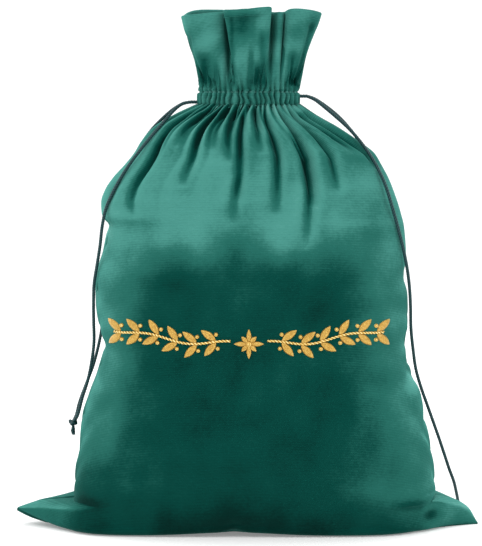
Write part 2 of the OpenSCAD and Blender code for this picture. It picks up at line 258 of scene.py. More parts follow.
def velvet(name, stops, sheen):
    """Pile cloth: colour from painted light and shade with pile tone, soft patches, fine ribs and pile, and
    a sheen.
    """
    made, tree, shader = shader_of(name)
    cloth = mark(tree, "cloth").outputs["Vector"]
    large = node(tree, "ShaderNodeTexNoise",
                 {"Vector": cloth, "Scale": 0.035, "Detail": 3.0, "Roughness": 0.55})
    small = node(tree, "ShaderNodeTexNoise",
                 {"Vector": cloth, "Scale": 0.42, "Detail": 3.0, "Roughness": 0.65})
    ribs = node(tree, "ShaderNodeTexWave",
                {"Vector": cloth, "Scale": 0.31, "Distortion": 0.5, "Detail": 1.0},
                wave_type="BANDS", bands_direction="Y")
    pile = node(tree, "ShaderNodeTexNoise", {"Vector": cloth, "Scale": 2.6, "Detail": 2.0})
    shift = centred(tree, large, 0.26)
    grain = centred(tree, small, 0.17)
    lines = centred(tree, ribs, 0.07)
    # The cloth's mark is painted light and shade with some pile tone; noise and ribs add random tone.
    pile_level_with_painted_light = mixed(tree, "ADD", mark(tree, "nap").outputs["Fac"], shift)
    pile_level_with_painted_light = mixed(tree, "ADD", mixed(tree, "ADD", pile_level_with_painted_light, grain), lines)
    tree.links.new(ramp(tree, pile_level_with_painted_light, stops), shader.inputs["Base Color"])
    relief = mixed(tree, "ADD", mixed(tree, "MULTIPLY", ribs.outputs["Fac"], 0.5), pile.outputs["Fac"])
    bump = node(tree, "ShaderNodeBump", {"Height": relief, "Strength": 0.35, "Distance": 0.0003})
    tree.links.new(bump.outputs[0], shader.inputs["Normal"])
    set_inputs(shader, {"Roughness": 0.85, "Specular IOR Level": 0.04, "Sheen Weight": sheen,
                        "Sheen Roughness": 0.38, "Sheen Tint": (0.16, 0.72, 0.62, 1)})
    return made


def gold_thread():
    """Metallic embroidery thread: painted highlights on the crowns of the stitches, painted shade in the
    gaps between them.
    """
    made, tree, shader = shader_of("gold_thread")
    place = node(tree, "ShaderNodeTexCoord").outputs["Object"]
    fleck = node(tree, "ShaderNodeTexNoise", {"Vector": place, "Scale": 900.0, "Detail": 2.0})
    lift = centred(tree, fleck, 0.7)
    # The strand mark picks painted highlight on the crowns and painted shade in the gaps; the fleck noise
    # lifts random spots towards the highlight.
    level = mixed(tree, "ADD", mark(tree, "strand").outputs["Fac"], lift)
    colour = ramp(tree, level, [(0.0, (0.20, 0.075, 0.008)), (0.45, (0.50, 0.27, 0.035)),
                                (0.8, (0.74, 0.50, 0.11)), (1.0, (0.90, 0.74, 0.34))])
    tree.links.new(colour, shader.inputs["Base Color"])
    set_inputs(shader, {"Metallic": 0.45, "Roughness": 0.36, "Specular IOR Level": 0.6})
    return made


def satin_cord():
    """Twisted satin drawstring: dark teal, with painted highlights on the crown of each strand and painted
    shade in the grooves.
    """
    made, tree, shader = shader_of("satin_cord")
    place = node(tree, "ShaderNodeTexCoord").outputs["Object"]
    fibre = node(tree, "ShaderNodeTexNoise", {"Vector": place, "Scale": 1400.0, "Detail": 2.0})
    lift = centred(tree, fibre, 0.5)
    # The strand mark picks painted shade in the grooves and painted highlight on the crowns; fibre noise
    # adds random tone.
    level = mixed(tree, "ADD", mark(tree, "strand").outputs["Fac"], lift)
    colour = ramp(tree, level, [(0.0, (0.0008, 0.007, 0.009)), (0.6, (0.004, 0.026, 0.030)),
                                (1.0, (0.022, 0.080, 0.085))])
    tree.links.new(colour, shader.inputs["Base Color"])
    set_inputs(shader, {"Roughness": 0.42, "Specular IOR Level": 0.22})
    return made


# The velvet's colours from deepest to lightest, picked by painted light and shade on the cloth.
VELVET_STOPS = [(0.0, (0.0001, 0.018, 0.014)), (0.25, (0.0006, 0.046, 0.036)),
                (0.5, (0.014, 0.112, 0.090)), (0.78, (0.056, 0.235, 0.198)), (1.0, (0.115, 0.345, 0.300))]
velvet_cloth = velvet("velvet", VELVET_STOPS, sheen=0.22)
lining_cloth = velvet("velvet_lining", VELVET_STOPS, sheen=0.2)
gold = gold_thread()
satin = satin_cord()


def sewing_thread():
    """Matt cotton thread with a fine twist, a shade lighter than the cloth."""
    made, tree, shader = shader_of("sewing_thread")
    place = node(tree, "ShaderNodeTexCoord").outputs["Object"]
    twist = node(tree, "ShaderNodeTexNoise", {"Vector": place, "Scale": 2500.0, "Detail": 1.0})
    colour = ramp(tree, twist.outputs["Fac"], [(0.2, (0.02, 0.14, 0.12)), (0.8, (0.11, 0.36, 0.32))])
    tree.links.new(colour, shader.inputs["Base Color"])
    set_inputs(shader, {"Roughness": 0.7})
    return made


thread = sewing_thread()


# ---- Camera ----

def make_camera():
    data = bpy.data.cameras.new("camera")
    data.lens, data.sensor_fit, data.sensor_height = 160, "VERTICAL", 36
    data.clip_end = 20
    camera = bpy.data.objects.new("camera", data)
    bpy.context.scene.collection.objects.link(camera)
    camera.location = (-0.0047, -1.5, 0.262)
    aim = Vector((-0.0047, 0, 0.157)) - camera.location
    camera.rotation_euler = aim.to_track_quat("-Z", "Y").to_euler()
    bpy.context.scene.camera = camera


make_camera()


# ---- Cords: the routes of part.scad ----

CORD_R = 1.08
CORD_SIDES = 15
CORD_STEP = 0.45
CORD_TWIST = {"grooves": 3, "lay": 5.0, "depth": 0.22}
LEFT_EXIT, RIGHT_EXIT = (-36, 262.7), (36, 266.3)
ROUTES = {
    "left_cord_front_tail": [
        (-0.036, -0.0013, 0.2627), (-0.041, -0.002, 0.2615), (-0.046, -0.005, 0.2575),
        (-0.052, -0.01, 0.2505), (-0.058, -0.015, 0.2435), (-0.0645, -0.019, 0.2355),
        (-0.071, -0.021, 0.227), (-0.077, -0.022, 0.218), (-0.0825, -0.022, 0.208),
        (-0.087, -0.021, 0.198), (-0.0895, -0.019, 0.187), (-0.091, -0.017, 0.175),
        (-0.093, -0.015, 0.163), (-0.095, -0.013, 0.151), (-0.0955, -0.011, 0.139),
        (-0.0955, -0.01, 0.127), (-0.0955, -0.008, 0.115), (-0.097, -0.007, 0.103),
        (-0.0995, -0.006, 0.091), (-0.103, -0.0055, 0.08), (-0.106, -0.0055, 0.069)],
    "left_cord_back_tail": [
        (-0.036, 0.0013, 0.2627), (-0.041, 0.002, 0.2615), (-0.047, 0.006, 0.258),
        (-0.0535, 0.011, 0.2525), (-0.06, 0.017, 0.246), (-0.066, 0.022, 0.238), (-0.071, 0.026, 0.229),
        (-0.075, 0.029, 0.218), (-0.0785, 0.031, 0.207), (-0.081, 0.032, 0.195), (-0.083, 0.032, 0.183),
        (-0.085, 0.032, 0.171), (-0.087, 0.031, 0.159), (-0.089, 0.03, 0.147), (-0.0905, 0.027, 0.135),
        (-0.092, 0.023, 0.123), (-0.094, 0.017, 0.111), (-0.097, 0.011, 0.099), (-0.101, 0.006, 0.088),
        (-0.105, 0.001, 0.077), (-0.107, -0.002, 0.069)],
    "right_cord_front_tail": [
        (0.036, -0.0013, 0.2663), (0.041, -0.0018, 0.264), (0.048, -0.003, 0.2585),
        (0.055, -0.005, 0.2525), (0.0615, -0.008, 0.2465), (0.068, -0.012, 0.239),
        (0.074, -0.017, 0.2305), (0.0795, -0.022, 0.2205), (0.0835, -0.026, 0.211),
        (0.0865, -0.028, 0.201), (0.09, -0.027, 0.189), (0.0935, -0.025, 0.176), (0.0965, -0.021, 0.163),
        (0.0985, -0.017, 0.15), (0.0995, -0.014, 0.137), (0.1, -0.011, 0.124), (0.1015, -0.008, 0.111),
        (0.1035, -0.006, 0.098), (0.107, -0.004, 0.086), (0.111, -0.002, 0.075), (0.115, 0, 0.064),
        (0.119, 0.003, 0.053), (0.1225, 0.007, 0.043), (0.126, 0.012, 0.033), (0.1295, 0.018, 0.024),
        (0.132, 0.025, 0.015), (0.1335, 0.031, 0.009)],
    "right_cord_back_tail": [
        (0.036, 0.0013, 0.2663), (0.041, 0.002, 0.2645), (0.048, 0.006, 0.26), (0.055, 0.011, 0.2545),
        (0.0615, 0.016, 0.248), (0.068, 0.021, 0.24), (0.074, 0.025, 0.2305), (0.0785, 0.028, 0.22),
        (0.0825, 0.03, 0.208), (0.086, 0.031, 0.195), (0.0895, 0.031, 0.182), (0.092, 0.031, 0.169),
        (0.094, 0.03, 0.156), (0.095, 0.03, 0.142), (0.096, 0.031, 0.129), (0.097, 0.031, 0.115),
        (0.0985, 0.031, 0.101), (0.101, 0.031, 0.087), (0.104, 0.032, 0.073), (0.107, 0.033, 0.059),
        (0.1095, 0.035, 0.046), (0.1115, 0.037, 0.033), (0.113, 0.04, 0.021), (0.115, 0.044, 0.01),
        (0.12, 0.045, 0.0035), (0.126, 0.042, 0.003), (0.1305, 0.038, 0.0045), (0.133, 0.035, 0.009)],
}
KNOTS = {"left": ((-109, -4, 64.5), (0, 0, 0)), "right": ((134.5, 33, 5.2), (70, 0, -35))}


def cord_line(name):
    """The centreline of a loose tail, from its exit into the middle of its knot."""
    knot = KNOTS[name.split("_")[0]][0]
    route = np.concatenate([np.array(ROUTES[name]) / MM, [knot]])
    return smooth_line(route, CORD_STEP)


def make_cord(name):
    line = cord_line(name)
    points, faces, strand = tube_mesh(line, CORD_R, CORD_SIDES, **CORD_TWIST)
    return mesh_piece(name.replace("tail", "drawstring"), points, faces, satin, {"strand": strand}), line


def make_knot(side):
    """An overhand knot drawn tight, with two cut ends that fray a little."""
    place, aim = KNOTS[side]
    turn = np.array(Euler([math.radians(a) for a in aim]).to_matrix())
    t = np.linspace(0, 2 * math.pi, 121)
    wrap = np.stack([np.sin(t) + 2 * np.sin(2 * t), np.cos(t) - 2 * np.cos(2 * t), -1.3 * np.sin(3 * t)], 1)
    parts = [tube_mesh(wrap * 0.72, 0.95, CORD_SIDES, grooves=3, lay=4.6, depth=0.2)]
    dice = np.random.default_rng(len(side))
    for way in (-1, 1):
        end = np.array([(0, 0.3 * way, -1.5), (0.1, 0.9 * way, -3),
                        (0.3 * way, 1.3 * way, -5), (0.2, 1.5 * way, -6.8)])
        line = smooth_line(end, 0.4)
        radii = np.linspace(0.95, 1.05, len(line))
        parts.append(tube_mesh(line, radii, CORD_SIDES, **CORD_TWIST))
        for _ in range(14):
            spread = dice.normal(0, 0.45, 2)
            start = line[-1] + [spread[0] * 0.9, spread[1] * 0.9, 0.3]
            tip = line[-1] + [spread[0] * 1.5, spread[1] * 1.5, -dice.uniform(0.7, 1.5)]
            parts.append(tube_mesh(np.linspace(start, tip, 4), np.array([0.16, 0.14, 0.1, 0.04]), 5))
    points, faces, strand = joined(parts)
    return mesh_piece(f"{side}_knot", points @ turn.T + place, faces, satin, {"strand": strand})


cords = {name: make_cord(name) for name in ROUTES}
knots = {side: make_knot(side) for side in KNOTS}


# ---- The filled body ----

CLOTH = 1.2
PANEL_TOP = 259.3
FRILL_FROM = 270.2
HALF_GAP = 0.15
COLUMNS = 241
U = np.linspace(0, 1, COLUMNS)
GATHERS = 22
UNEVEN = 0.34
FRONT_SEED, BACK_SEED = 31, 57

# Height, reach to the left and right of the middle, depth in front of it, squareness
PROFILE = [
    (5, 108, 109, 50, 3.8), (13, 108.5, 113, 54, 3.4), (26, 108.5, 116.5, 58.5, 3.1),
    (37, 107.5, 115.5, 61, 2.9), (52, 104.8, 112.5, 63.5, 2.8), (67, 104.3, 109, 64, 2.7),
    (82, 100, 106, 64, 2.6), (97, 94, 100.5, 63.5, 2.55), (112, 90.3, 97.2, 62.7, 2.5),
    (127, 93, 98.8, 62.3, 2.45), (142, 94.6, 98.4, 62, 2.4), (156, 94, 96.6, 61, 2.35),
    (171, 89.6, 97, 60, 2.3), (186, 87, 95.8, 58.3, 2.3), (194, 90, 94, 57, 2.25),
    (201, 90.6, 92.2, 56, 2.2), (209, 88.3, 89.5, 54, 2.2), (216, 84, 86.5, 52, 2.15),
    (224, 76.5, 82, 49.5, 2.1), (231, 70.5, 77.5, 46, 2.05), (238, 66, 68, 41, 2), (246, 58.5, 55, 34, 2),
    (253, 45.5, 41, 25.5, 2), (PANEL_TOP, 29.5, 30, 17, 2)]
# The foot of the sack seen from above: left ear tip, front edge, right ear tip
FOOT = [
    (-144, 0), (-140, -4.5), (-127, -15), (-114, -27), (-104, -37), (-95, -43), (-78, -47), (-40, -49.5),
    (0, -50), (45, -49.5), (78, -47), (93, -41.5), (103, -33.5), (112, -26), (125, -12), (137, -3.5),
    (143, 0)]
EAR_H = 18
# Top edge and underside of the ears: distance out from where they start, height
LEFT_EAR = (106, [(0, 17.5, 0), (12, 17.5, 1.5), (22, 17.3, 4), (30, 15.5, 6.5), (38, 12, 9.6)])
RIGHT_EAR = (112, [(0, 19, 0), (6, 20, 0), (17, 18, 0), (25, 14, 0), (31, 2.5, 0)])
# The underside, from the bottom seam out to the front edge: share of the depth, height
UNDERSIDE = [
    (0.0, 0.9), (0.02, 0.35), (0.12, 0.3), (0.3, 0.3), (0.5, 0.3), (0.7, 0.3), (0.84, 0.35), (0.92, 0.6),
    (0.96, 1.3), (0.985, 2.4), (0.997, 3.7)]
LEVELS = np.concatenate([np.linspace(5, 11.5, 6), np.linspace(12.5, 18.4, 15), np.linspace(20, 188, 96),
                         np.linspace(189.2, PANEL_TOP, 74)])

# Deep folds that run down from the neck: where they start and end across the half width (-1 to 1),
# their top and bottom height, and depth
FRONT_FOLDS = [
    (-0.51, -0.45, 259, 212, 6.5), (-0.86, -0.78, 258, 193, 6.5), (-0.22, -0.15, 259, 226, 5.0),
    (-0.06, -0.10, 223, 190, 2.6), (-0.08, -0.055, 259, 204, 5.0), (0.27, 0.185, 259, 195, 5.5),
    (0.53, 0.355, 259, 177, 8.0), (0.42, 0.44, 246, 200, 6.0), (0.73, 0.60, 259, 208, 7.0),
    (0.84, 0.865, 256, 231, 5.0), (0.93, 0.94, 257, 221, 4.5), (-0.68, -0.62, 259, 236, 4.0),
    (-0.36, -0.31, 259, 234, 4.0), (0.12, 0.10, 259, 232, 4.0)]
BACK_FOLDS = [
    (-0.9, -0.84, 258, 206, 5.5), (-0.72, -0.6, 259, 216, 6.0), (-0.5, -0.42, 259, 192, 7.0),
    (-0.33, -0.27, 259, 228, 4.5), (-0.14, -0.12, 259, 182, 7.0), (0.05, 0.04, 259, 221, 5.0),
    (0.24, 0.2, 259, 199, 6.0), (0.43, 0.33, 259, 229, 4.5), (0.6, 0.5, 259, 187, 7.0),
    (0.78, 0.68, 259, 213, 5.5), (0.92, 0.9, 258, 224, 5.0)]
# Soft creases pulled in from a side seam: side (-1 left, 1 right), height, slope, depth, reach
FRONT_CREASES = [
    (-1, 112, 0.10, 2.6, 26), (-1, 104, -0.35, 1.4, 34), (-1, 120, 0.45, 1.4, 30),
    (-1, 187, -0.2, 2.2, 24), (-1, 179, -0.5, 1.2, 34), (1, 152, 0.25, 1.3, 24), (1, 160, -0.2, 1.0, 30),
    (1, 116, 0.1, 2.4, 30), (1, 106, -0.4, 1.9, 36), (1, 126, 0.4, 1.4, 34), (-1, 21, 0.8, 2.0, 30),
    (1, 22, 0.7, 2.4, 30), (1, 70, -0.3, 1.6, 40), (-1, 74, -0.4, 1.6, 36), (1, 40, 0.9, 1.8, 44),
    (-1, 40, 0.8, 1.5, 44), (-1, 150, -0.3, 1.5, 40), (1, 90, 0.5, 1.5, 44)]
BACK_CREASES = [
    (-1, 114, -0.2, 2.2, 30), (-1, 185, 0.3, 2.0, 26), (1, 150, -0.3, 1.6, 30), (1, 96, 0.3, 1.5, 34),
    (-1, 22, 0.7, 2.2, 30), (1, 22, 0.8, 2.2, 30), (-1, 60, -0.3, 1.3, 34)]


def puffs(shares, count, seed):
    """Gathered cloth from above: 0 in the pinches, up to 1 on the puffs between them."""
    dice = np.random.default_rng(seed)
    spots = np.arange(count + 1) + np.concatenate([[0], dice.uniform(-UNEVEN, UNEVEN, count - 1), [0]])
    size = dice.uniform(0.62, 1, count)
    phase = np.interp(shares, spots / count, np.arange(count + 1))
    cell = np.clip(np.floor(phase).astype(int), 0, count - 1)
    return size[cell] * np.sin(math.pi * (phase - cell)) ** 0.8


def section(left, right, depth, square, shares):
    """The front half of the body cut across at one height."""
    turn = np.linspace(math.pi, 2 * math.pi, 1201)
    flat = np.sign(np.cos(turn)) * np.abs(np.cos(turn)) ** (2 / square)
    reach = (left + right) / 2
    x = (right - left) / 2 + reach * flat
    y = -depth * np.abs(np.sin(turn)) ** (2 / square)
    return resample(np.stack([x, y], 1), shares)


def smooth_body():
    """The filled shape before its folds, from the bottom seam to the channel."""
    foot = resample(smooth_line(FOOT, 0.8), U)
    rows = []
    for share, height in UNDERSIDE:
        narrow = 1 - 0.35 * (1 - share) * (share > 0.8)
        rows.append(np.column_stack([foot[:, 0] * narrow, foot[:, 1] * share, np.full(COLUMNS, height)]))
    for level in LEVELS:
        left, right, depth, square = smooth_rows(PROFILE, level, hold=True)[0]
        cut = section(left, right, depth, square, U)
        ear = (max(0, 1 - (level / EAR_H) ** 6) * smoothstep(84, 106, np.abs(foot[:, 0])))[:, None]
        plan = cut * (1 - ear) + foot * ear
        rows.append(np.column_stack([plan, np.full(COLUMNS, level)]))
    body = np.array(rows)
    for side, (start, edge) in ((-1, LEFT_EAR), (1, RIGHT_EAR)):
        out = np.clip(side * body[..., 0] - start, 0, edge[-1][0])
        top, under = np.moveaxis(smooth_rows(edge, out.ravel(), hold=True).reshape(*out.shape, 2), -1, 0)
        low = (body[..., 2] <= EAR_H + 0.5) & (out > 0)
        lifted = under + (top - under) * body[..., 2] / EAR_H
        body[..., 2] = np.where(low, lifted, body[..., 2])
    return body


def fold_relief(body, folds, creases, seed):
    """How far the cloth stands in or out of the smooth body, and painted shade: darker in the folds, the
    gathers' pinches and the dimple by the right ear, a little lighter on the swells beside each fold.
    """
    x, z = body[..., 0], body[..., 2]
    reach_l, reach_r = -x[:, :1], x[:, -1:]
    across = np.where(x < 0, x / reach_l, x / reach_r)
    lengths = np.array([arc_lengths(row)[-1] for row in body])
    down = np.clip(PANEL_TOP - z, 0, None)
    level = z[:, COLUMNS // 2]
    relief, shade = np.zeros_like(x), np.zeros_like(x)
    for start, end, top, bottom, depth in folds:
        fall = np.clip((top - level) / (top - bottom), 0, 1.15)
        spot = start + (end - start) * fall
        line = np.array([np.interp(s, row, U) for s, row in zip(spot, across)])
        aside = (U[None] - line[:, None]) * lengths[:, None]
        width = (1.3 + 3.4 * fall)[:, None]
        blunt = (0.4 + 1.8 * fall)[:, None]
        dip = np.exp(-(np.sqrt(aside**2 + blunt**2) - blunt) / width)
        strength = np.clip(1 - fall, 0, 1) ** 0.75 * smoothstep(0, 0.12 if top > 250 else 0.4, fall)
        strength = strength * (level < top) * (level > 150)
        relief -= 1.35 * depth * strength[:, None] * dip
        # Painted shade in each fold's valley, and painted light on the swells beside it.
        shade += np.clip(depth / 6, 0, 1) * (strength**0.7)[:, None] * (0.35 * dip + 0.75 * dip**3)
        swell = bell(aside / (2.6 * width), 1) - dip
        relief += 0.42 * depth * strength[:, None] * swell
        shade -= 0.16 * np.clip(depth / 6, 0, 1) * strength[:, None] * np.clip(swell, 0, 1)
    fine = puffs(U, GATHERS, seed)[None] - 0.5
    middle = puffs(U, 11, seed + 1)[None] - 0.5
    relief += 4.8 * np.exp(-down / 7.0) * fine
    relief += 4.6 * (1 - np.exp(-down / 6)) * np.exp(-down / 19) * middle
    relief += 1.2 * np.exp(-down / 22)
    # Painted shade in the pinches of the gathers under the channel.
    shade += (np.exp(-down / 9) * np.clip(-fine * 2, 0, 1) * 0.55
              + np.exp(-down / 22) * np.clip(-middle * 2, 0, 1) * 0.15)
    along = U[None] * lengths[:, None]
    for side, height, slope, depth, reach in creases:
        inward = along if side < 0 else lengths[:, None] - along
        off = z - height - slope * inward
        relief -= depth * bell(off, 3.0 + 0.16 * inward) * np.exp(-inward / reach) * (level > 8)[:, None]
    # A dimple by the right ear, with painted shade in it.
    curl = bell(np.hypot((x - 113) / 1.3, z - 10), 3.6)
    relief -= 2.6 * curl
    shade += 0.6 * curl
    body_zone = smoothstep(6, 30, z) * (1 - smoothstep(205, 235, z))
    relief += body_zone * (1.3 * rolling(x, 0.6 * z, 46, seed + 2)
                           + 0.5 * rolling(x, 0.7 * z, 20, seed + 3))
    seam = np.minimum(along, lengths[:, None] - along)
    relief -= 1.1 * bell(seam, 2.4) * (level > 19)[:, None] * (1 - smoothstep(240, 256, z))
    return relief, np.clip(shade, -0.3, 1)


def pressed(body, out, lines, clear):
    """The body with its cloth pressed in where a cord lies on it."""
    body = body.copy()
    for line in lines:
        line = line[::3]
        near = (np.abs(body[..., 0]) > 30) & (body[..., 2] > 2)
        spots = np.argwhere(near)
        for chunk in np.array_split(spots, 1 + len(spots) // 4000):
            p, n = body[chunk[:, 0], chunk[:, 1]], out[chunk[:, 0], chunk[:, 1]]
            apart = line[None] - p[:, None]
            nearest = np.argmin((apart**2).sum(-1), 1)
            v = apart[np.arange(len(p)), nearest]
            height = (v * n).sum(1)
            aside = np.sqrt(np.maximum((v**2).sum(1) - height**2, 0))
            push = np.clip(clear - height, 0, 4) * bell(aside, 3.2) * (np.linalg.norm(v, axis=1) < 9)
            body[chunk[:, 0], chunk[:, 1]] = p - n * push[:, None]
    return body


def cloth_marks(grid):
    """Where each point lies on the flat cloth, in millimetres, for the weave of its material."""
    across = np.array([arc_lengths(row) for row in grid])
    middle = arc_lengths(grid[:, grid.shape[1] // 2])
    return np.stack([across - across[:, -1:] / 2, np.broadcast_to(middle[:, None], across.shape),
                     np.zeros_like(across)], -1)


def turned_over(grid):
    """The back half: a front half turned over, still running left to right as seen from behind."""
    back = grid[:, ::-1].copy()
    back[..., 1] *= -1
    return back


def nap_of(body, out, shade, seed):
    """Painted light and shade with some random tone, as one value for the velvet's colours. Painted light
    on the upper shoulders, the sides and slopes turned up or to the left; painted shade in the folds, the
    ear creases and the right ear's dimple. The ears are lighter, the cloth near the neck and towards the
    bottom darker. The steps were tuned so that the broad light and dark areas follow the photo's, whatever
    the light does."""
    x, z = body[..., 0], body[..., 2]
    # Painted light: the upper shoulders lighter, as if lit from above, with a wavering edge.
    wander = 8 * rolling(x, z, 30, seed + 7) + 3 * rolling(x, z, 12, seed + 8)
    high = smoothstep(143, 197, z + wander)
    nap = 0.20 + 0.54 * high * (1 - 0.20 * smoothstep(30, 70, x))
    # Darker near the neck.
    nap -= 0.10 * smoothstep(205, 240, z)
    # Painted light where the cloth turns away to the left, less to the right, and towards both sides, more
    # on the right.
    nap += 0.30 * smoothstep(0.35, 0.85, -out[..., 0]) * (1 - 0.8 * high) * smoothstep(30, 70, z)
    nap += 0.12 * smoothstep(0.35, 0.8, out[..., 0]) * (1 - 0.8 * high)
    nap += (0.10 * smoothstep(38, 78, np.abs(x)) + 0.13 * smoothstep(40, 88, x)) * (1 - high)
    # The ears lighter.
    nap += 0.22 * smoothstep(100, 116, np.abs(x)) * (z < 24)
    # Darker towards the bottom.
    nap -= 0.14 * (1 - smoothstep(4, 30, z))
    # Painted light on cloth that faces up, below the shoulders.
    nap += 0.30 * smoothstep(0.25, 0.6, out[..., 2]) * (z < 150)
    # Painted shade in the crease where each ear meets the wall.
    nap -= 0.20 * bell(z - 19, 3.5) * smoothstep(82, 98, np.abs(x))
    # Painted light and shade on every slope: turned left lighter, turned right darker, more so near the
    # neck; turned up lighter.
    lean = out[..., 0] - blur(out[..., 0], 9)
    rise = out[..., 2] - blur(out[..., 2], 9)
    nap -= (0.22 + 0.34 * smoothstep(150, 215, z)) * lean
    nap += 0.55 * rise * smoothstep(16, 26, z)
    # Random mottling of the pile's tone.
    nap += 0.045 * rolling(x, z, 34, seed + 9) + 0.03 * rolling(x, z, 13, seed + 10)
    # Painted shade from the folds, gathers and dimple.
    return nap - 0.68 * shade


def body_half(front):
    body = smooth_body()
    folds, creases = (FRONT_FOLDS, FRONT_CREASES) if front else (BACK_FOLDS, BACK_CREASES)
    seed = FRONT_SEED if front else BACK_SEED
    relief, shade = fold_relief(body, folds, creases, seed)
    out = normals(body)
    body = body + out * relief[..., None]
    notch = 2.2 * bell(body[..., 0] + 9, 34) + 1.8 * bell(body[..., 0] + 9, 5)
    edge = (1 - smoothstep(2, 14, body[..., 2])) * smoothstep(30, 44, -body[..., 1])
    body[..., 2] += notch * edge
    body[..., 1] = np.minimum(body[..., 1], 0) - HALF_GAP
    body[..., 2] = np.maximum(body[..., 2], 0.2)
    lines = [line for _, line in cords.values()]
    if not front:
        lines = [line * (1, -1, 1) for line in lines]
    body = pressed(body, normals(body), lines, CORD_R + 0.35)
    out = normals(body)
    nap = nap_of(body, np.dstack([blur(out[..., k], 2) for k in range(3)]), shade, seed)
    marks = {"cloth": cloth_marks(body), "nap": nap}
    return body, body - out * CLOTH, marks


def make_half(name, front):
    outer, inner, marks = body_half(front)
    if not front:
        outer, inner = turned_over(outer), turned_over(inner)
        marks = {key: values[:, ::-1] for key, values in marks.items()}
    return shell(name, outer, inner, velvet_cloth, marks), outer


front_panel, front_skin = make_half("front_panel_cloth", True)
back_panel, _ = make_half("back_panel_cloth", False)


# ---- Neck: channel, frill and the turned-down inner layer ----

NECK = (29.5, 17.0)
LAYER = 0.8
# How the frill folds over its top edge: distance inwards, drop
FOLD_OVER = [(0.12, 0.6), (0.45, 0.18), (1.05, 0), (1.65, 0.18), (1.98, 0.6), (2.1, 1.1), (2.1, 5)]
# The frill's top edge: share of the way across, then x, y and height
FRONT_EDGE = [
    (0.0, -41, 0, 315.5), (0.05, -41.5, -8, 315.5), (0.11, -38.5, -17, 315.5), (0.17, -31, -22, 316),
    (0.23, -22, -23, 316.8), (0.28, -15, -20, 317.2), (0.315, -10.5, -13, 317.6), (0.335, -9, -9.5, 318),
    (0.355, -11.5, -16, 318.2), (0.375, -14.5, -24, 318.4), (0.40, -15.5, -28.5, 318.5),
    (0.43, -12, -31.5, 318.7), (0.50, 0, -32, 319.4), (0.58, 10, -31, 320), (0.615, 14, -28, 320),
    (0.64, 13.5, -18, 319), (0.665, 14, -10, 317.6), (0.685, 15.4, -16.5, 317.3),
    (0.705, 17.4, -20.5, 317.3), (0.72, 19.6, -20.8, 317.3), (0.735, 21.6, -18, 317.3),
    (0.755, 21.4, -11, 317.6), (0.775, 22.6, -18, 318.4), (0.80, 24.6, -23.5, 319),
    (0.84, 30, -25.5, 319.2), (0.89, 38, -22, 318.6), (0.945, 44, -14, 317.6), (0.98, 45, -6, 317.2),
    (1.0, 44, 0, 317)]
BACK_EDGE = [
    (0.0, -41, 0, 315.5), (0.05, -40, -8, 317), (0.10, -37, -16, 319), (0.16, -31, -22, 320.2),
    (0.23, -22, -25.5, 320.4), (0.29, -14.5, -24.5, 320.2), (0.325, -10, -18, 319.4),
    (0.345, -8.5, -11, 318.6), (0.37, -6.5, -19, 318.6), (0.40, -2.5, -26, 318.8), (0.46, 6, -29, 319),
    (0.52, 14, -28, 318.8), (0.56, 18.5, -22, 318.2), (0.58, 18.5, -13, 317.4), (0.605, 20.5, -20, 317.2),
    (0.64, 24.5, -24.5, 317.2), (0.68, 30, -24, 317.2), (0.71, 32, -18, 317), (0.725, 31.5, -11, 316.8),
    (0.75, 34, -17, 316.8), (0.80, 38.5, -19, 317), (0.88, 43, -13, 317.2), (0.95, 45, -5, 317.1),
    (1.0, 44, 0, 317)]

# Hollows in the frill: foot x and z, top x and z, depth, half width
FRONT_DENTS = [
    (-28, 268, -28, 287, 2.8, 5.0), (-21, 270, -20, 282, 1.4, 2.2), (-10, 268, -11.5, 312, 1.5, 2.2),
    (-3, 306, -3, 314, 2.4, 8.0), (5.5, 268, 5.5, 281, 2.6, 3.0), (0.5, 270, 1.5, 290, 1.2, 1.6),
    (10, 268, 8.5, 300, 1.4, 2.0), (26, 270, 27, 288, 2.6, 3.0), (31, 274, 39.5, 307, 2.6, 3.2),
    (-35, 272, -37, 300, 1.6, 2.6)]
BACK_DENTS = [
    (-30, 268, -31, 292, 2.6, 4.0), (-20, 270, -19, 306, 1.8, 3.0), (-3, 268, -4, 284, 2.6, 3.0),
    (5, 272, 6, 308, 2.2, 4.0), (12, 268, 12, 286, 1.8, 2.4), (26, 268, 28, 300, 2.4, 3.2),
    (36, 272, 39, 306, 1.8, 3.0)]


def dented(grid, dents):
    """The frill with its hollows pressed in, and how deep in one each point is."""
    deep = np.zeros(grid.shape[:2])
    for x0, z0, x1, z1, depth, width in dents:
        rise = np.clip((grid[..., 2] - z0) / (z1 - z0), 0, 1)
        past = np.maximum(grid[..., 2] - z1, 0) + np.maximum(z0 - grid[..., 2], 0)
        aside = grid[..., 0] - (x0 + (x1 - x0) * rise)
        deep += depth * bell(aside, width) * bell(past, 4.5)
    deep *= smoothstep(FRILL_FROM, FRILL_FROM + 4.5, grid[..., 2])
    return grid - normals(grid) * deep[..., None], deep


def neck_ring(reach, depth, shares=U):
    turn = np.linspace(math.pi, 2 * math.pi, 801)
    return resample(np.stack([reach * np.cos(turn), depth * np.sin(turn)], 1), shares)


def ring_out(ring):
    ahead = unit(np.gradient(ring, axis=0))
    return np.stack([ahead[:, 1], -ahead[:, 0]], 1)


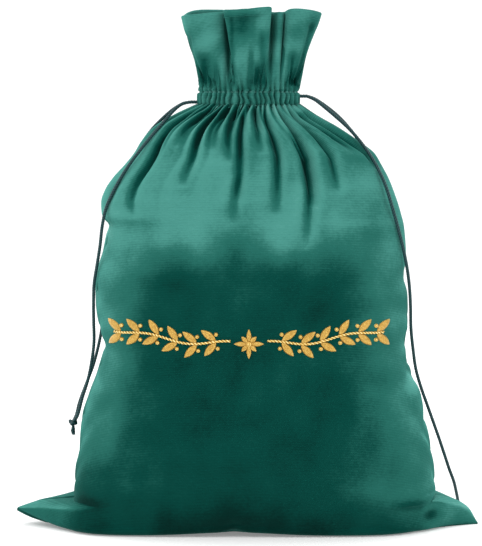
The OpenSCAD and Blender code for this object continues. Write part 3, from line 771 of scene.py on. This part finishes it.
def channel_grid(seed, exits):
    """The channel's outer layer, puffed between its two stitch lines, with a slit for the cords."""
    ring = neck_ring(*NECK)
    out = ring_out(ring)
    along = arc_lengths(ring)
    rows = []
    for level in np.linspace(PANEL_TOP - 0.2, FRILL_FROM + 0.2, 21):
        share = min(max((level - PANEL_TOP) / (FRILL_FROM - PANEL_TOP), 0), 1)
        pinch = bell(share - 0.12, 0.055) + bell(share - 0.88, 0.055)
        swell = 0.9 * math.sin(math.pi * share) ** 0.5 - 1.1 * pinch
        lean = (0.012 * math.sin(7 * share + seed) * np.sin(9 * U + seed)
                + 0.006 * np.sin(31 * U + 8 * share))
        wave = puffs(np.clip(U + lean * U * (1 - U) * 4, 0, 1), GATHERS, seed)
        fade = 1 - 0.35 * pinch
        plan = ring + out * (swell + 4.4 * (wave - 0.5) * fade)[:, None]
        for far, exit_z in ((along, exits[0]), (along[-1] - along, exits[1])):
            plan[:, 1] -= 2.5 * bell(level - exit_z, 2.4) * (1 - smoothstep(0, 5, far))
        rows.append(np.column_stack([plan, np.full(COLUMNS, level)]))
    grid = np.array(rows)
    grid[..., 1] = np.minimum(grid[..., 1], 0) - HALF_GAP
    return grid


def frill_plan(edge, height, seed, inset, frilled):
    """One row of the frill: gathered at the channel, opening out to its serpentine top edge."""
    top = smooth_rows(edge, U)
    rise = (top[:, 2] - FRILL_FROM)
    share = np.clip(height / rise, 0, 1)[:, None]
    ring = neck_ring(NECK[0] - inset, NECK[1] - inset)
    rim = top[:, :2]
    rim = rim - ring_out(rim) * min(inset, 2.1)
    plan = ring * (1 - share**0.85) + rim * share**0.85
    out = ring_out(ring)
    lift = np.clip(height, 0, None)
    fine = 4.4 * np.exp(-lift / 6.5) * (puffs(U, GATHERS, seed) - 0.5)
    middle = 3.0 * (1 - np.exp(-lift / 4)) * np.exp(-lift / 17) * (puffs(U, 10, seed + 5) - 0.5)
    return plan + out * ((fine + middle) * frilled)[:, None]


def frill_grids(edge, seed):
    """The frill's outer layer with the fold over its top edge, and the inner layer's two sides."""
    top = smooth_rows(edge, U)[:, 2]
    outer = []
    for share in np.linspace(0, 1, 46):
        height = (top - 1.1 - FRILL_FROM) * share
        plan = frill_plan(edge, height, seed, 0, 1)
        outer.append(np.column_stack([plan, FRILL_FROM - 0.3 * (1 - share) + height]))
    last = outer[-1]
    inward = -ring_out(last[:, :2])
    for across, drop in FOLD_OVER:
        outer.append(np.column_stack([last[:, :2] + inward * across, top - drop]))
    facing = []
    for share in np.linspace(0, 1, 44):
        level = PANEL_TOP + (top - 5.2 - PANEL_TOP) * share
        height = level - FRILL_FROM
        inset = 2.1 + 3.0 * np.exp(-np.clip(height, 0, None).mean() / 9)
        plan = frill_plan(edge, height, seed + 9, inset, 0.85)
        facing.append(np.column_stack([plan, level]))
    grids = [np.array(outer), np.array(facing)]
    for grid in grids:
        grid[..., 1] = np.minimum(grid[..., 1], 0) - HALF_GAP
    return grids


def neck_half(side, front):
    seed, edge = (FRONT_SEED, FRONT_EDGE) if front else (BACK_SEED, BACK_EDGE)
    dents = FRONT_DENTS if front else BACK_DENTS
    exits = (LEFT_EXIT[1], RIGHT_EXIT[1])
    casing = channel_grid(seed, exits)
    frill, facing = frill_grids(edge, seed)
    frill, deep = dented(frill, dents)
    facing, _ = dented(facing, dents)
    frill[..., 1] = np.minimum(frill[..., 1], -HALF_GAP)
    facing[..., 1] = np.minimum(facing[..., 1], -HALF_GAP)
    # Painted shade in the frill's hollows and in the casing's pinches, painted light on its puffs, with
    # random mottling; the frill darker near the channel.
    soft = rolling(frill[..., 0], frill[..., 2], 12, seed + 3)
    dark = 0.13 * deep - 0.10 * soft
    low = np.exp(-np.clip(frill[..., 2] - FRILL_FROM, 0, None) / 7)
    naps = {"casing": 0.60 + 0.2 * (puffs(U, GATHERS, seed)[None] - 0.7) * np.ones(casing.shape[:2]),
            "frill": 0.64 - dark - 0.05 * low,
            "facing": 0.45 * np.ones(facing.shape[:2])}
    made = {}
    for part, grid, material in (("casing", casing, velvet_cloth), ("frill", frill, velvet_cloth),
                                 ("facing", facing, lining_cloth)):
        inner = grid - normals(grid) * LAYER
        if part == "facing":
            grid, inner = grid + normals(grid) * LAYER, grid
        marks = {"cloth": cloth_marks(grid), "nap": naps[part]}
        if not front:
            grid, inner = turned_over(grid), turned_over(inner)
            marks = {key: values[:, ::-1] for key, values in marks.items()}
        made[part] = shell(f"{side}_{part}_cloth", grid, inner, material, marks)
    return made, casing


necks = {"front": neck_half("front", True), "back": neck_half("back", False)}


# ---- Stitches, cord in the channel, seams inside ----

STITCHES = 26


def stitch_row(name, casing, level, front):
    """A row of short stitches, lying on the pinched cloth."""
    row = int(np.argmin(np.abs(casing[:, 0, 2] - level)))
    out = normals(casing)[row]
    parts = []
    for i in range(STITCHES):
        at = int((i + 0.5) / STITCHES * (COLUMNS - 1))
        span = slice(max(at - 3, 0), at + 4)
        line = casing[row, span] + out[span] * 0.12
        if not front:
            line = line * (1, -1, 1)
        line = resample(line, np.linspace(0, 1, 9))
        radii = 0.27 * np.sin(np.linspace(0.12, 0.88, 9) * math.pi) ** 0.4
        parts.append(tube_mesh(line, radii, 8))
    points, faces, marks = joined(parts)
    return mesh_piece(name, points, faces, thread, {"strand": marks})


def cord_in_channel(name, level, front):
    ring = neck_ring(25.4, 13.4, np.linspace(0.03, 0.97, 160))
    if not front:
        ring = ring * (1, -1)
    line = np.column_stack([ring, np.full(len(ring), level)])
    points, faces, strand = tube_mesh(line, CORD_R, 12, **CORD_TWIST)
    return mesh_piece(name, points, faces, satin, {"strand": strand})


def cord_ends(name, exit_x, level):
    """Both ends of a cord in the slit, from inside the channel to where they hinge."""
    parts = []
    for way in (-1, 1):
        y = 1.3 * way
        inside = math.copysign(24.5, exit_x)
        route = [(inside, y * 2.4, level), (inside * 1.09, y * 1.4, level),
                 (exit_x * 0.86, y, level), (exit_x, y, level)]
        parts.append(tube_mesh(smooth_line(route, CORD_STEP), CORD_R, CORD_SIDES, **CORD_TWIST))
    points, faces, strand = joined(parts)
    return mesh_piece(name, points, faces, satin, {"strand": strand})


def seam_strip(name, edge, inward, depth):
    """Two raw edges sewn together and turned in along a seam, seen only through the mouth."""
    edge = smooth_line(edge, 2.5)
    steps = np.array([0, 0.25, 0.5, 0.75, 1.0])
    halves = []
    for way in (-1, 1):
        thick = np.array([0.5, 1.1, 1.2, 1.1, 0.7]) * way
        turned_in = np.array(inward) * (steps * depth)[:, None]
        halves.append(edge[:, None] + turned_in + np.outer(thick, (0, 1, 0)))
    outer, inner = halves
    if np.cross(outer[1, 0] - outer[0, 0], outer[0, 1] - outer[0, 0])[1] > 0:
        outer, inner = inner, outer
    marks = {"cloth": cloth_marks(outer), "nap": 0.4 * np.ones(outer.shape[:2])}
    return shell(name, outer, inner, lining_cloth, marks)


stitches = {}
for side, (_, casing) in necks.items():
    for level_name, level in (("lower", PANEL_TOP + 1.3), ("upper", FRILL_FROM - 1.3)):
        name = f"{side}_{level_name}_stitching"
        stitches[name] = stitch_row(name.replace("stitching", "stitches"), casing, level, side == "front")
runs = {f"{s}_cord_{f}_run": cord_in_channel(f"{s}_channel_cord_{f}", z, f == "front")
        for s, (_, z) in (("left", LEFT_EXIT), ("right", RIGHT_EXIT)) for f in ("front", "back")}
ends = {"left": cord_ends("left_cord_exits", *LEFT_EXIT),
        "right": cord_ends("right_cord_exits", *RIGHT_EXIT)}

SEAM_LEVELS = range(26, 250, 14)
seams = {}
for side, column, way in (("left", 0, 1), ("right", -1, -1)):
    skin = front_skin[:, column]
    edge = [(np.interp(z, skin[:, 2], skin[:, 0]) + way * (CLOTH + 1.2), 0, z) for z in SEAM_LEVELS]
    seams[f"{side}_side_seam"] = seam_strip(f"{side}_seam_allowance", edge, (way, 0, 0), 8)
foot_edge = [(x, 0, 2.0 + (0.012 * (x + 112) ** 2 if x < -112 else 0)) for x in range(-126, 127, 14)]
seams["bottom_seam"] = seam_strip("bottom_seam_allowance", foot_edge, (0, 0, 1), 6)


# ---- Gold embroidery: two vines from a star, with leaves and berries ----

ORNAMENT_Z, ORNAMENT_RISE, ORNAMENT_HALF = 119, 7, 82
LEAF_L, LEAF_W, LEAF_TILT, LEAF_FIRST, LEAF_PITCH, LEAF_PAIRS = 10.6, 4.4, 42, 19, 11.5, 6
STAR_R, STAR_ARMS, BERRY_OUT = 9, 8, 4.2
STITCH = 0.62
skin_faces = shell_faces(*front_skin.shape[:2])[:(len(front_skin) - 1) * (COLUMNS - 1)]
skin_tree = BVHTree.FromPolygons([tuple(p) for p in front_skin.reshape(-1, 3)], skin_faces)


def ornament_height(x):
    return ORNAMENT_Z + ORNAMENT_RISE * (x / ORNAMENT_HALF) ** 2 + 1.6 * np.sin(2 * math.pi * abs(x) / 48)


def vine_slope(x):
    return math.atan((ornament_height(x + 1) - ornament_height(x - 1)) / 2)


def on_front(plan, heights):
    """Points over the front cloth: x and z of each, and how far they stand out of it."""
    made = []
    for (x, z), height in zip(plan.reshape(-1, 2), heights.ravel()):
        spot, out, *_ = skin_tree.ray_cast(Vector((x, -200, z)), Vector((0, 1, 0)))
        out = out if out.y < 0 else -out
        made.append(spot + out * height)
    return np.array(made).reshape(*plan.shape[:-1], 3)


def satin_leaf(root, aim, length, width, blunt=0.75, high=0.85):
    """A padded leaf of satin stitches slanting out from its midrib."""
    rows, cols = int(length / STITCH * 5), 13
    a = np.linspace(0.01, 0.99, rows)[:, None]
    b = np.linspace(-1, 1, cols)[None]
    half = width / 2 * np.sin(math.pi * a**0.9) ** blunt
    side = half * b
    ridge = np.cos(2 * math.pi * (a * length + 0.9 * np.abs(side)) / STITCH)
    notch = 1 + 0.10 * np.cos(2 * math.pi * a * length / STITCH)
    along, side = a * length + 0 * b, side * notch
    plan = np.stack([root[0] + along * math.cos(aim) - side * math.sin(aim),
                     root[1] + along * math.sin(aim) + side * math.cos(aim)], -1)
    dome = np.sqrt(np.maximum(1 - b**2, 0)) * np.minimum(1, half / (width / 3))
    height = 0.12 + high * dome + 0.09 * ridge * dome - 0.16 * bell(b, 0.13) * dome
    outer, inner = on_front(plan, height), on_front(plan, -0.25 + 0 * height)
    if np.cross(outer[rows // 2, cols // 2 + 1] - outer[rows // 2, cols // 2],
                outer[rows // 2 + 1, cols // 2] - outer[rows // 2, cols // 2])[1] > 0:
        outer, inner, ridge = outer[:, ::-1], inner[:, ::-1], ridge[:, ::-1]
    points = np.concatenate([outer.reshape(-1, 3), inner.reshape(-1, 3)])
    # The strand mark: painted highlight on each stitch's crown, painted shade between stitches.
    strand = 0.5 + 0.42 * (ridge * np.ones((rows, cols))).ravel()
    return points, shell_faces(rows, cols), np.concatenate([strand, strand])


def berry(x, z, radius=1.25):
    """A small padded dot, its stitches wound round it."""
    rings, sides = 9, 20
    a = np.linspace(1, 0.06, rings)[:, None]
    turn = np.linspace(0, 2 * math.pi, sides, endpoint=False)[None]
    plan = np.stack([x + radius * a * np.cos(turn), z + radius * a * np.sin(turn)], -1)
    ridge = np.cos(10 * a + turn)
    height = 0.1 + 1.15 * np.sqrt(1 - a**2 * 0.98) + 0.06 * ridge
    top = on_front(plan, height)
    base = on_front(plan[:1], np.full((1, sides), -0.2))
    points = np.concatenate([base, top]).reshape(-1, 3)
    grid = np.arange(len(points)).reshape(rings + 1, sides)
    after = np.roll(grid, -1, 1)
    quads = np.stack([grid[:-1], grid[1:], after[1:], after[:-1]], -1).reshape(-1, 4)[:, ::-1].tolist()
    # The strand mark: painted highlight on each stitch's crown, painted shade between stitches.
    strand = 0.6 + 0.35 * np.concatenate([ridge[:1], ridge]).ravel()
    return points, quads + [grid[0, ::-1].tolist(), grid[-1].tolist()], strand


def vine(side):
    xs = side * np.linspace(STAR_R + 2, ORNAMENT_HALF - 1, 90)
    plan = np.stack([xs, ornament_height(xs)], -1)
    line = on_front(plan, np.full(len(xs), 0.45))
    line = resample(line, np.linspace(0, 1, 260))
    return tube_mesh(line, 0.8, 12, grooves=2, lay=4.4, depth=0.3)


def make_embroidery():
    leaves, berries = [], []
    for side in (-1, 1):
        for i in range(LEAF_PAIRS):
            x = side * (LEAF_FIRST + LEAF_PITCH * i)
            slope = vine_slope(x)
            for way in (-1, 1):
                tilt = way * math.radians(LEAF_TILT)
                aim = slope + (tilt if side > 0 else math.pi - tilt)
                root = (x + math.cos(aim), ornament_height(x) + math.sin(aim))
                leaves.append(satin_leaf(root, aim, LEAF_L, LEAF_W))
                berries.append(berry(x - way * BERRY_OUT * math.sin(slope),
                                     ornament_height(x) + way * BERRY_OUT * math.cos(slope)))
    arms = []
    for i in range(STAR_ARMS):
        reach = STAR_R if i % 2 == 0 else 0.7 * STAR_R
        aim = i * 2 * math.pi / STAR_ARMS
        root = (math.cos(aim), ORNAMENT_Z + math.sin(aim))
        arms.append(satin_leaf(root, aim, reach - 1.0, 2.9, 0.9, 0.75))
    arms.append(berry(0, ORNAMENT_Z, 1.7))
    made = {}
    for part, parts in (("vine", [vine(-1), vine(1)]), ("leaves", leaves),
                        ("berries", berries), ("star", arms)):
        points, faces, strand = joined(parts)
        made[f"embroidery_{part}"] = mesh_piece(f"gold_{part}", points, faces, gold, {"strand": strand})
    return made


embroidery = make_embroidery()


# ---- Floor, light ----

# Name, place, size and power, in metres and watts
LIGHTS = [("key", (-0.9, -1.5, 1.9), 1.3, 20), ("fill", (1.6, -1.2, 1.0), 1.4, 8),
          ("top", (0.1, 0.5, 2.0), 1.6, 15), ("rim", (-1.7, 0.9, 0.8), 1.2, 9),
          ("back", (1.3, 1.6, 1.2), 1.2, 8)]


def make_studio():
    """A pale sweep under and behind the sack, soft light from above and both sides."""
    bend = np.linspace(0.1, math.pi / 2, 12)
    floor_y = np.concatenate([np.linspace(-6, 2.2, 12), 2.2 + 1.2 * np.sin(bend), [3.4]])
    floor_z = np.concatenate([np.zeros(12), 1.2 - 1.2 * np.cos(bend), [6.0]])
    points = [(x, y, z) for y, z in zip(floor_y, floor_z) for x in (-7, 7)]
    faces = [(2 * i, 2 * i + 1, 2 * i + 3, 2 * i + 2) for i in range(len(floor_y) - 1)]
    made, _, shader = shader_of("studio_sweep")
    set_inputs(shader, {"Base Color": (0.86, 0.86, 0.86, 1), "Roughness": 0.9, "Specular IOR Level": 0.1,
                        "Emission Color": (1, 1, 1, 1), "Emission Strength": 0.22})
    sweep = mesh_piece("studio_sweep", np.array(points) / MM, faces, made)
    world = bpy.data.worlds.new("studio")
    world.use_nodes = True
    world.node_tree.nodes["Background"].inputs[0].default_value = (1, 1, 1, 1)
    world.node_tree.nodes["Background"].inputs[1].default_value = 0.85
    bpy.context.scene.world = world
    for name, place, size, power in LIGHTS:
        data = bpy.data.lights.new(name, "AREA")
        data.size, data.energy = size, power
        light = bpy.data.objects.new(name, data)
        light.location = place
        light.rotation_euler = (Vector((0, 0, 0.15)) - Vector(place)).to_track_quat("-Z", "Y").to_euler()
        bpy.context.scene.collection.objects.link(light)
    bpy.context.scene.view_settings.view_transform = "Standard"


make_studio()


# ---- The imported parts that each piece replaces are hidden, and some pieces move with a body ----

def stands_for(piece, slot, *nodes):
    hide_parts(*nodes)


stands_for(front_panel, "velvet", "front_panel")
stands_for(back_panel, "velvet", "back_panel")
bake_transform(front_panel)
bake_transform(back_panel)
for side, way in (("front", -1), ("back", 1)):
    parts = {f"{side}_{part}": (piece, "velvet_lining" if part == "facing" else "velvet")
             for part, piece in necks[side][0].items()}
    parts |= {name: (piece, "sewing_thread") for name, piece in stitches.items() if name.startswith(side)}
    parts |= {name: (piece, "satin_cord") for name, piece in runs.items() if f"_{side}_" in name}
    for node_name, (piece, slot) in parts.items():
        stands_for(piece, slot, node_name)
        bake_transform(piece)
for name, piece in seams.items():
    stands_for(piece, "velvet_lining", name)
    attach(piece, "root")
for name, piece in embroidery.items():
    stands_for(piece, "gold_thread", name)
    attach(piece, "root")
for side, way in (("left", -1), ("right", 1)):
    stands_for(ends[side], "satin_cord", f"{side}_cord_ends")
    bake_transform(ends[side])
    stands_for(knots[side], "satin_cord", f"{side}_cord_knot")
    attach(knots[side], f"{side}_loop")
for name, (piece, line) in cords.items():
    side = name.split("_")[0]
    stands_for(piece, "satin_cord", name)
    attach(piece, f"{side}_loop")
